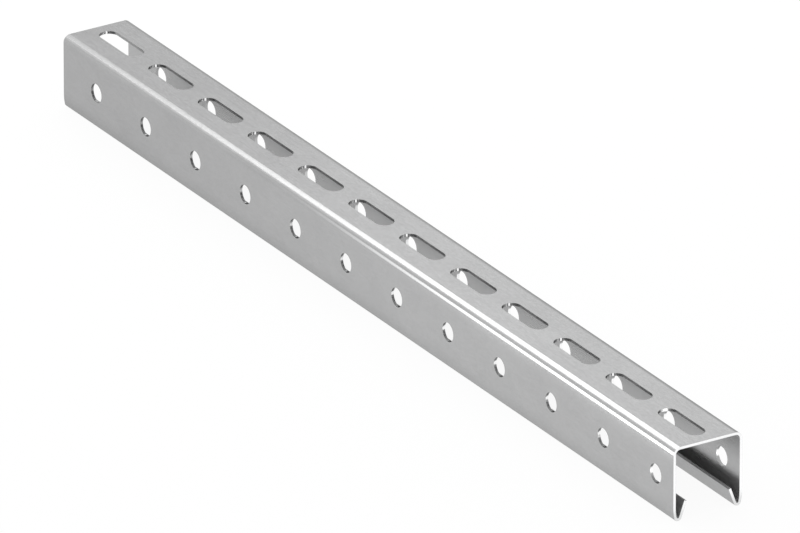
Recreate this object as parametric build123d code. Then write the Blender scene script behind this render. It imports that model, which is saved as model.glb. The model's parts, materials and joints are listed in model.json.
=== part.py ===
from build123d import *
import math
import os

# A slotted strut channel: one length of galvanised steel strip, roll-formed to a C section.
# It lies as it rests on a level floor, with its slotted web on top and its open side down.
# +X runs along the length and +Z is up. The origin is on the floor, at the middle of the
# length and of the width. All sizes are millimetres and all angles are degrees.

# Section
WIDTH = 41.0            # over the outsides of the two walls
HEIGHT = 41.0           # from the top of the web to the lowest point of the folds
SHEET = 1.5             # thickness of the strip
CORNER_RADIUS = 4.0     # outside of the bend between the web and a wall
FOOT_RADIUS = 25.0      # outside of the slack curve that leads a wall's foot inwards
FOOT_ANGLE = 13.0       # what the slack curve turns
FOLD_RADIUS = 0.7       # inside of the tight fold between a wall's foot and its lip
LIP_LEAN = 20.0         # between a lip and the upright
LIP_FLAT = 9.2          # from the end of the fold to the lip's cut edge

# Length and perforation
LENGTH = 600.0
PITCH = 50.0            # between neighbours in every row of openings
SLOT_LENGTH = 36.0      # end to end
SLOT_WIDTH = 10.5
FIRST_SLOT = 25.0       # from the -X end to the centre of the first slot
HOLE_DIAMETER = 10.5
FIRST_HOLE = 33.2       # from the -X end to the axis of the first pair of wall holes
HOLE_DROP = 20.5        # from the top of the web down to the axes of the wall holes

# What follows from these
FOLD_OUTSIDE = FOLD_RADIUS + SHEET
FOLD_ANGLE = 180 - FOOT_ANGLE - LIP_LEAN
FOOT_TOP = FOLD_OUTSIDE + (FOOT_RADIUS - FOLD_OUTSIDE) * math.sin(math.radians(FOOT_ANGLE))
HOLE_HEIGHT = HEIGHT - HOLE_DROP


def sheet_line(depth):
    """Half the section's line at this depth in the sheet, from mid-web to the lip's cut edge."""
    web = Line((0, HEIGHT - depth), (WIDTH / 2 - CORNER_RADIUS, HEIGHT - depth))
    corner = JernArc(web @ 1, web % 1, CORNER_RADIUS - depth, -90)
    wall = Line(corner @ 1, (WIDTH / 2 - depth, FOOT_TOP))
    foot = JernArc(wall @ 1, wall % 1, FOOT_RADIUS - depth, -FOOT_ANGLE)
    fold = JernArc(foot @ 1, foot % 1, FOLD_OUTSIDE - depth, -FOLD_ANGLE)
    lip = Line(fold @ 1, fold @ 1 + (fold % 1) * LIP_FLAT)
    return Wire([web, corner, wall, foot, fold, lip])


def channel_section():
    """The C section, drawn with the width along x and the height along y."""
    outside = sheet_line(0)
    inside = sheet_line(SHEET)
    middle = Line(inside @ 0, outside @ 0)
    cut_edge = Line(outside @ 1, inside @ 1)
    half = make_face([*outside.edges(), cut_edge, *inside.edges(), middle])
    return half + mirror(half, Plane.YZ)


def row(first, size):
    """Centres of a row of openings along the length, as many as the length holds whole."""
    room = LENGTH - first - size / 2
    count = math.floor(room / PITCH) + 1
    return [first - LENGTH / 2 + PITCH * step for step in range(count)]


def web_slots():
    """Cutters for the web's slots, one web thickness proud of it above and below."""
    slot = SlotOverall(SLOT_LENGTH, SLOT_WIDTH)
    level = HEIGHT - SHEET / 2
    slots = [Pos(x, 0, level) * slot for x in row(FIRST_SLOT, SLOT_LENGTH)]
    return [extrude(one, SHEET * 1.5, both=True) for one in slots]


def wall_holes():
    """Cutters for the wall holes, each through both walls."""
    drill = Rot(90, 0, 0) * Cylinder(HOLE_DIAMETER / 2, WIDTH + 2 * SHEET)
    return [Pos(x, 0, HOLE_HEIGHT) * drill for x in row(FIRST_HOLE, HOLE_DIAMETER)]


def strut_channel():
    """The whole channel, one solid."""
    bar = extrude(Plane.YZ * channel_section(), LENGTH / 2, both=True)
    return bar - web_slots() - wall_holes()


os.makedirs("parts", exist_ok=True)
channel = strut_channel()
export_step(channel, "parts/strut_channel.step")
print("strut_channel: volume", round(channel.volume), "mm3, box", channel.bounding_box().size)
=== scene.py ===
import json
import math

import bpy
from mathutils import Matrix, Vector


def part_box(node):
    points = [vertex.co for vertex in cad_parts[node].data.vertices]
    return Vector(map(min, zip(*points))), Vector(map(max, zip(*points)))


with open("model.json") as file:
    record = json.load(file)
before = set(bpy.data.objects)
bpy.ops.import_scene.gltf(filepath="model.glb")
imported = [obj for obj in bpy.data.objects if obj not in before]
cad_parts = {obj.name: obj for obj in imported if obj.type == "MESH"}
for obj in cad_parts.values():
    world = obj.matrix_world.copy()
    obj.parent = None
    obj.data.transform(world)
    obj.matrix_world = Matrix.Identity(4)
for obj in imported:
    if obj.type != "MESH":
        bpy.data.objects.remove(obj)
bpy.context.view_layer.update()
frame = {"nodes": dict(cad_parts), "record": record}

# One strut channel of galvanised steel on a white studio floor.
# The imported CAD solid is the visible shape. This script gives it its finish,
# and adds the floor, the lamps and the camera. Lengths are metres unless a name ends in _MM.

LOW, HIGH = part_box("strut_channel")
CENTRE = (LOW + HIGH) / 2
MM = 1000.0

# The channel's own sizes: its box and, from its drawing, the sheet and the outside of the bends.
HALF_LENGTH_MM = HIGH.x * MM
TOP_MM = HIGH.z * MM
SIDE_MM = HIGH.y * MM
SHEET_MM = 1.5
CORNER_MM = 4.0

# The photograph's view: a long lens far away, because the picture has no perspective.
# The two aims shift the middle of the picture off the middle of the channel.
AZIMUTH = math.radians(58.44)
ELEVATION = math.radians(24.59)
LENS_MM = 1100.0
SENSOR_MM = 36.0
FRAME_WIDTH = 0.4116
AIM_RIGHT = 0.0016
AIM_UP = -0.00035
CLIP_NEAR = 1.0
CLIP_FAR = 60.0


def mount(name):
    """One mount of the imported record."""
    for entry in frame["record"]["mounts"]:
        if entry["name"] == name:
            return entry
    raise KeyError(name)


# ---------------------------------------------------------------- node helper

class Graph:
    """Adds nodes to one node tree. A value is a number, a colour or another node's socket."""

    def __init__(self, owner):
        owner.use_nodes = True
        self.tree = owner.node_tree
        self.tree.nodes.clear()

    def put(self, socket, value):
        if isinstance(value, bpy.types.NodeSocket):
            self.tree.links.new(value, socket)
        else:
            socket.default_value = value

    def node(self, kind, values=None, **settings):
        made = self.tree.nodes.new("ShaderNode" + kind)
        for name, setting in settings.items():
            setattr(made, name, setting)
        for name, value in (values or {}).items():
            self.put(made.inputs[name], value)
        return made

    def math(self, operation, *values):
        made = self.node("Math", operation=operation)
        for socket, value in zip(made.inputs, values):
            self.put(socket, value)
        return made.outputs[0]

    def total(self, first, *others):
        """The sum of all the values."""
        result = first
        for other in others:
            result = self.math("ADD", result, other)
        return result

    def product(self, first, *others):
        """The product of all the values."""
        result = first
        for other in others:
            result = self.math("MULTIPLY", result, other)
        return result

    def largest(self, first, *others):
        """The largest of all the values."""
        result = first
        for other in others:
            result = self.math("MAXIMUM", result, other)
        return result

    def without(self, mask):
        """The mask of everything outside a mask."""
        return self.math("SUBTRACT", 1.0, mask)

    def length(self, across, up):
        """The length of a vector from its two components."""
        square = self.total(self.product(across, across), self.product(up, up))
        return self.math("SQRT", square)

    def ramp(self, value, start, end, low=0.0, high=1.0):
        """A smooth step from low at start to high at end."""
        made = self.node("MapRange", interpolation_type="SMOOTHSTEP")
        for socket, number in zip(made.inputs, (value, start, end, low, high)):
            self.put(socket, number)
        return made.outputs[0]

    def blend(self, factor, low, high):
        """low where the factor is 0, high where it is 1."""
        made = self.node("Mix", data_type="FLOAT")
        ends = (made.inputs[0], made.inputs[2], made.inputs[3])
        for socket, value in zip(ends, (factor, low, high)):
            self.put(socket, value)
        return made.outputs[0]

    def centred(self, value, amount):
        """A value about 0.5, as one about 0 that varies by the amount."""
        return self.math("MULTIPLY_ADD", value, amount, -amount / 2)

    def place(self, point, stretch):
        """The point with each coordinate divided by a length in millimetres."""
        made = self.node("Mapping", {"Vector": point})
        made.inputs["Scale"].default_value = [1.0 / length for length in stretch]
        return made.outputs[0]

    def noise(self, point, size, detail, seed):
        """Noise about 0.5, with features of the given sizes along X, Y and Z."""
        made = self.node("TexNoise", {"Detail": detail, "Scale": 1.0}, noise_dimensions="4D")
        self.put(made.inputs["Vector"], self.place(point, size))
        made.inputs["W"].default_value = seed
        return made.outputs[0]


# ---------------------------------------------------------------- galvanised steel

# The plain outside of the walls, and what the inside has instead.
GREY = 0.490
ROUGHNESS = 0.21
METAL = 0.94
METAL_INSIDE = 0.84
COOL_TINT = (0.997, 1.0, 1.003)
GRAZING_TINT = (0.52, 0.52, 0.52, 1.0)

# The lines and the grain also stand up a little. A small round finds the sharp edges.
BUMP_DEPTH = 0.000004
BUMP_SHARE = 0.6
EDGE_ROUND = 0.00035
EDGE_SAMPLES = 8

# Where each region begins and where it is complete, along one coordinate or away from a rim.
# Painted shade: the walls and the web grow darker from the middle to the -X end.
WEB_MM = (TOP_MM - SHEET_MM - 0.3, TOP_MM - SHEET_MM - 0.1)
# Painted shade: the outside of both bends is made darker, except towards the -X end.
BEND_SIDE_MM = (SIDE_MM - CORNER_MM - 1.0, SIDE_MM - CORNER_MM + 0.5)
BEND_TOP_MM = (TOP_MM - CORNER_MM - 1.0, TOP_MM - CORNER_MM + 0.5)
# Painted shade: the outside of the walls grows darker towards the floor.
PAINTED_FOOT_SHADE_MM = (12.0, 3.0)
SAWN_MM = (HALF_LENGTH_MM - 0.06, HALF_LENGTH_MM - 0.02)
FAR_SHADE_MM = (120.0, -HALF_LENGTH_MM)
PUNCHED_MM = (0.06, 0.02)
NEAR_RIM_MM = (0.9, 0.0)

# How far a surface has turned towards X (1 is all the way), or away from its rounded self.
# Painted highlight: the part of the wall holes' rims that gets a painted glint.
PAINTED_HOLE_GLINT_TURN = (0.90, 0.985)
# Painted highlight: the part of the slot ends' rims that gets a painted glint.
PAINTED_SLOT_GLINT_TURN = (0.80, 0.93)
EDGE_TURN = (0.999, 0.80)

# How light each region is beside the plain wall.
TONE = {
    # Painted shade: the web is made darker than the walls of the same sheet.
    "web": 0.92,
    # Painted fill light: the inside is made lighter.
    "inside": 1.13,
    # Painted shade on the bends.
    "painted_bend_shade": 0.86,
    # Painted shade near the floor.
    "painted_foot_shade": 0.97,
    # Painted shade towards the -X end, on the walls and on the web.
    "painted_far_shade_wall": 0.90,
    "painted_far_shade_web": 0.97,
    "near_rim": 1.03,
    "punched": 0.78,
    # Painted glint on the wall holes' rims, fading out towards the -X end.
    "painted_hole_glint": 2.6,
    # Painted glint on the slot ends' rims.
    "painted_slot_glint": 2.8,
}
BARE_TONE = 0.82
BARE_FIGURE = 0.5
EDGE_TONE = 0.55

# How much rougher each region is than the plain wall.
ROUGHER = {
    "inside": 0.07,
    "near_rim": -0.03,
    "punched": 0.09,
    "painted_hole_glint": -0.16,
    "painted_slot_glint": -0.16,
    "sawn": 0.16,
}

# The zinc's variations: the size of each along X, Y and Z, and how fine its detail goes.
NOISE_MM = {
    "lines": ((70.0, 0.9, 0.9), 3.0),
    "grain": ((3.2, 1.1, 1.1), 2.0),
    "mottle": ((26.0, 14.0, 14.0), 3.0),
    "smudge": ((70.0, 40.0, 40.0), 4.0),
}
SPANGLE_MM = (9.0, 6.0, 6.0)

# How much each variation changes the tone, what the walls show of it, and how much it
# changes the roughness.
TONE_CHANGE = {"lines": 0.09, "grain": 0.27, "mottle": 0.09, "smudge": 0.06, "flake": 0.022}
WALL_SHARE = {"lines": 0.6, "grain": 0.45}
ROUGHNESS_CHANGE = {"smudge": 0.07, "lines": 0.05}


def row_offset(g, x, name):
    """Distance along X from the nearest opening of the row that a mount starts."""
    entry = mount(name)
    spacing = entry["dims"]["spacing_x_mm"]
    first = entry["pos_m"][0] * MM + spacing / 2
    shifted = g.math("SUBTRACT", x, first)
    return g.math("WRAP", shifted, spacing / 2, -spacing / 2)


def slot_gap(g, x, y):
    """Distance outwards from the rim of the nearest web slot."""
    dims = mount("web_slots_first_two")["dims"]
    radius = dims["hole_r_mm"]
    straight = dims["slot_length_mm"] / 2 - radius
    along = g.math("ABSOLUTE", row_offset(g, x, "web_slots_first_two"))
    past = g.math("MAXIMUM", g.math("SUBTRACT", along, straight), 0.0)
    return g.math("SUBTRACT", g.length(past, y), radius)


def hole_gap(g, x, z):
    """Distance outwards from the rim of the nearest wall hole."""
    entry = mount("minus_y_wall_holes_first_two")
    along = row_offset(g, x, "minus_y_wall_holes_first_two")
    up = g.math("SUBTRACT", z, entry["pos_m"][2] * MM)
    return g.math("SUBTRACT", g.length(along, up), entry["dims"]["hole_r_mm"])


def edge_mask(g, normal):
    """1 close to a sharp edge: there a small round would turn the surface."""
    rounded = g.node("Bevel", {"Radius": EDGE_ROUND}, samples=EDGE_SAMPLES)
    agree = g.node("VectorMath", operation="DOT_PRODUCT")
    g.put(agree.inputs[0], rounded.outputs[0])
    g.put(agree.inputs[1], normal)
    return g.ramp(agree.outputs["Value"], *EDGE_TURN)


def punched_masks(g, web, rim, normal, far_shade):
    """Masks of the punched openings' walls, and of the parts of these that face along X, which get
    painted glints.
    """
    turned = g.math("ABSOLUTE", g.node("SeparateXYZ", {0: normal}).outputs[0])
    punched = g.ramp(rim, *PUNCHED_MM)
    wall_hole = g.product(punched, g.without(web))
    return {
        "punched": punched,
        "near_rim": g.ramp(rim, *NEAR_RIM_MM),
        "painted_hole_glint": g.product(wall_hole, g.without(far_shade), g.ramp(turned, *PAINTED_HOLE_GLINT_TURN)),
        "painted_slot_glint": g.product(punched, web, g.ramp(turned, *PAINTED_SLOT_GLINT_TURN)),
    }


def surface_masks(g, point):
    """Masks of the channel's regions. Each is 1 in its region and 0 elsewhere."""
    x, y, z = g.node("SeparateXYZ", {0: point}).outputs
    normal = g.node("NewGeometry").outputs["Normal"]
    side = g.math("ABSOLUTE", y)
    web = g.ramp(z, *WEB_MM)
    rim = g.blend(web, hole_gap(g, x, z), slot_gap(g, x, y))
    far_shade = g.ramp(x, *FAR_SHADE_MM)
    masks = punched_masks(g, web, rim, normal, far_shade)

    outer_wall = g.math("GREATER_THAN", side, SIDE_MM - SHEET_MM / 2)
    outer_web = g.math("GREATER_THAN", z, TOP_MM - SHEET_MM / 2)
    bend = g.product(g.ramp(side, *BEND_SIDE_MM), g.ramp(z, *BEND_TOP_MM))
    masks.update({
        "web": web,
        "inside": g.without(g.largest(outer_wall, outer_web, masks["punched"])),
        # Painted shade on the bends, fading out towards the -X end.
        "painted_bend_shade": g.product(bend, g.without(far_shade)),
        "painted_foot_shade": g.product(outer_wall, g.ramp(z, *PAINTED_FOOT_SHADE_MM)),
        "painted_far_shade_wall": g.product(far_shade, g.without(web)),
        "painted_far_shade_web": g.product(far_shade, web),
        "sawn": g.ramp(g.math("ABSOLUTE", x), *SAWN_MM),
        "edge": edge_mask(g, normal),
    })
    return masks


def zinc_variations(g, point):
    """Rolling lines, grain, mottle, handling marks and the zinc's own spangle."""
    zinc = {}
    for seed, (name, (size, detail)) in enumerate(NOISE_MM.items(), start=1):
        zinc[name] = g.noise(point, size, detail, seed)
    spangle = g.node("TexVoronoi", {"Scale": 1.0, "Randomness": 1.0}, feature="F1")
    g.put(spangle.inputs["Vector"], g.place(point, SPANGLE_MM))
    zinc["flake"] = g.node("SeparateColor", {0: spangle.outputs["Color"]}).outputs[0]
    return zinc


def steel_tone(g, masks, zinc):
    """How light the metal is."""
    layers = {name: g.centred(zinc[name], amount) for name, amount in TONE_CHANGE.items()}
    for name, share in WALL_SHARE.items():
        layers[name] = g.product(layers[name], g.blend(masks["web"], share, 1.0))
    figure = g.total(*layers.values())
    regions = [g.blend(masks[name], 1.0, share) for name, share in TONE.items()]
    coated = g.product(g.total(figure, 1.0), GREY, *regions)
    bare = g.math("MULTIPLY_ADD", figure, BARE_FIGURE, BARE_TONE)
    bare = g.product(bare, g.blend(masks["edge"], 1.0, EDGE_TONE))
    return g.blend(masks["sawn"], coated, bare)


def steel_roughness(g, masks, zinc):
    """How much the metal blurs what it reflects."""
    layers = [g.centred(zinc[name], amount) for name, amount in ROUGHNESS_CHANGE.items()]
    regions = [g.product(masks[name], amount) for name, amount in ROUGHER.items()]
    return g.total(*layers, ROUGHNESS, *regions)


def galvanised_steel():
    """Hot-dip zinc on rolled strip, with punched rims, rolled corners and sawn ends, and with
    painted shade and painted glints.
    """
    material = bpy.data.materials.new("galvanised_steel")
    g = Graph(material)
    scaled = g.node("VectorMath", operation="SCALE")
    g.put(scaled.inputs[0], g.node("TexCoord").outputs["Object"])
    scaled.inputs["Scale"].default_value = MM
    point = scaled.outputs[0]
    masks = surface_masks(g, point)
    zinc = zinc_variations(g, point)

    tone = steel_tone(g, masks, zinc)
    colour = g.node("CombineColor")
    for socket, tint in zip(colour.inputs, COOL_TINT):
        g.put(socket, g.product(tone, tint))
    height = g.product(g.total(zinc["lines"], zinc["grain"]), BUMP_SHARE)
    bump = g.node("Bump", {"Height": height, "Distance": BUMP_DEPTH})
    shader = g.node("BsdfPrincipled", {
        "Base Color": colour.outputs[0],
        "Metallic": g.blend(masks["inside"], METAL, METAL_INSIDE),
        "Roughness": steel_roughness(g, masks, zinc),
        "Specular Tint": GRAZING_TINT,
        "Normal": bump.outputs[0],
    })
    g.node("OutputMaterial", {"Surface": shader.outputs[0]})
    return material


def finish_steel():
    """Puts the steel on every material slot of the channel."""
    node = frame["nodes"]["strut_channel"]
    steel = galvanised_steel()
    for slot in node.material_slots:
        slot.material = steel


# ---------------------------------------------------------------- studio

FLOOR_REACH = 12.0
FLOOR_PAINT = (0.9, 0.9, 0.9, 1.0)
FLOOR_WHITE_SHARE = 0.93
WHITE = (1.0, 1.0, 1.0, 1.0)


def floor_material():
    """A white floor: it shows as white, keeps a soft shadow, and can be seen through from below."""
    material = bpy.data.materials.new("studio_floor")
    g = Graph(material)
    rays = g.node("LightPath").outputs
    seen = g.largest(rays["Is Camera Ray"], rays["Is Glossy Ray"], rays["Is Transmission Ray"])
    paint = g.node("BsdfDiffuse", {"Color": FLOOR_PAINT})
    white = g.node("Emission", {"Color": WHITE, "Strength": 1.0})
    share = g.product(seen, FLOOR_WHITE_SHARE)
    front = g.node("MixShader", {0: share, 1: paint.outputs[0], 2: white.outputs[0]})
    clear = g.node("BsdfTransparent")
    below = g.node("NewGeometry").outputs["Backfacing"]
    both = g.node("MixShader", {0: below, 1: front.outputs[0], 2: clear.outputs[0]})
    g.node("OutputMaterial", {"Surface": both.outputs[0]})
    return material


def add_floor():
    """A square floor under the channel."""
    signs = [(-1, -1), (1, -1), (1, 1), (-1, 1)]
    corners = [(FLOOR_REACH * across, FLOOR_REACH * away, 0.0) for across, away in signs]
    mesh = bpy.data.meshes.new("studio_floor")
    mesh.from_pydata(corners, [], [(0, 1, 2, 3)])
    floor = bpy.data.objects.new("studio_floor", mesh)
    bpy.context.scene.collection.objects.link(floor)
    mesh.materials.append(floor_material())


def add_world():
    """A plain white room all round."""
    world = bpy.data.worlds.new("studio")
    bpy.context.scene.world = world
    g = Graph(world)
    room = g.node("Background", {"Color": WHITE, "Strength": 1.0})
    g.node("OutputWorld", {"Surface": room.outputs[0]})


def add_softbox(name, place, target, size, strength):
    """A flat lamp as bright as a white card lit to the given strength."""
    width, height = size
    data = bpy.data.lights.new(name, "AREA")
    data.shape = "RECTANGLE"
    data.size = width
    data.size_y = height
    data.energy = strength * math.pi * width * height
    lamp = bpy.data.objects.new(name, data)
    bpy.context.scene.collection.objects.link(lamp)
    back = (Vector(place) - Vector(target)).normalized()
    along = Vector((1, 0, 0))
    along = (along - back * along.dot(back)).normalized()
    across = back.cross(along)
    turn = Matrix((along, across, back)).transposed().to_4x4()
    lamp.matrix_world = Matrix.Translation(place) @ turn
    lamp.visible_camera = False
    return lamp


def grade(lamp, dark_x, bright_x, least, bow):
    """Fades a lamp along X, from a least share at dark_x to its full strength at bright_x.

    The bow bends the fade by the square of Y, as the round bend's reflection of a line does.
    """
    g = Graph(lamp.data)
    position = g.node("NewGeometry").outputs["Position"]
    x, y, _ = g.node("SeparateXYZ", {0: position}).outputs
    along = g.total(x, g.product(y, y, bow))
    glow = g.node("Emission", {"Strength": g.ramp(along, dark_x, bright_x, least, 1.0)})
    g.node("OutputLight", {"Surface": glow.outputs[0]})


def add_bend_lights():
    """The two lamps that the near bend mirrors: a broad one above it and a strip beside it."""
    top = add_softbox(
        "top_light",
        place=(-1.42, 0.11, 1.20),
        target=(-1.42, 0.11, 0.0),
        size=(0.90, 1.64),
        strength=2.8,
    )
    grade(top, dark_x=-1.74, bright_x=-1.32, least=0.03, bow=0.45)
    strip = add_softbox(
        "low_strip",
        place=(0.09, -0.0325, 0.0348),
        target=(0.09, LOW.y, 0.0348),
        size=(0.44, 0.0100),
        strength=3.7,
    )
    grade(strip, dark_x=-0.110, bright_x=0.235, least=0.0, bow=0.0)
    strip.visible_diffuse = False


def add_fill_lights():
    """A weak lamp from behind, and a small one on the floor that the sawn end mirrors."""
    add_softbox(
        "back_fill",
        place=(-0.86, 0.80, 0.72),
        target=(0.20, 0.0, 0.04),
        size=(0.66, 0.70),
        strength=0.20,
    )
    add_softbox(
        "end_card",
        place=(0.355, 0.025, 0.003),
        target=(0.355, 0.025, 0.5),
        size=(0.10, 0.12),
        strength=0.40,
    )


def towards(azimuth, elevation):
    """The direction from the object to a viewer. Azimuth 0 is the front, -Y."""
    flat = math.cos(elevation)
    return Vector((math.sin(azimuth) * flat, -math.cos(azimuth) * flat, math.sin(elevation)))


def add_camera():
    """The photograph's camera."""
    back = towards(AZIMUTH, ELEVATION)
    turn = (-back).to_track_quat("-Z", "Y")
    right = turn @ Vector((1, 0, 0))
    up = turn @ Vector((0, 1, 0))
    data = bpy.data.cameras.new("camera")
    data.lens = LENS_MM
    data.sensor_width = SENSOR_MM
    data.clip_start = CLIP_NEAR
    data.clip_end = CLIP_FAR
    camera = bpy.data.objects.new("camera", data)
    distance = FRAME_WIDTH * LENS_MM / SENSOR_MM
    camera.location = CENTRE + right * AIM_RIGHT + up * AIM_UP + back * distance
    camera.rotation_mode = "QUATERNION"
    camera.rotation_quaternion = turn
    bpy.context.scene.collection.objects.link(camera)
    bpy.context.scene.camera = camera


add_camera()
add_world()
add_floor()
add_bend_lights()
add_fill_lights()
finish_steel()
bpy.context.scene.view_settings.view_transform = "Standard"
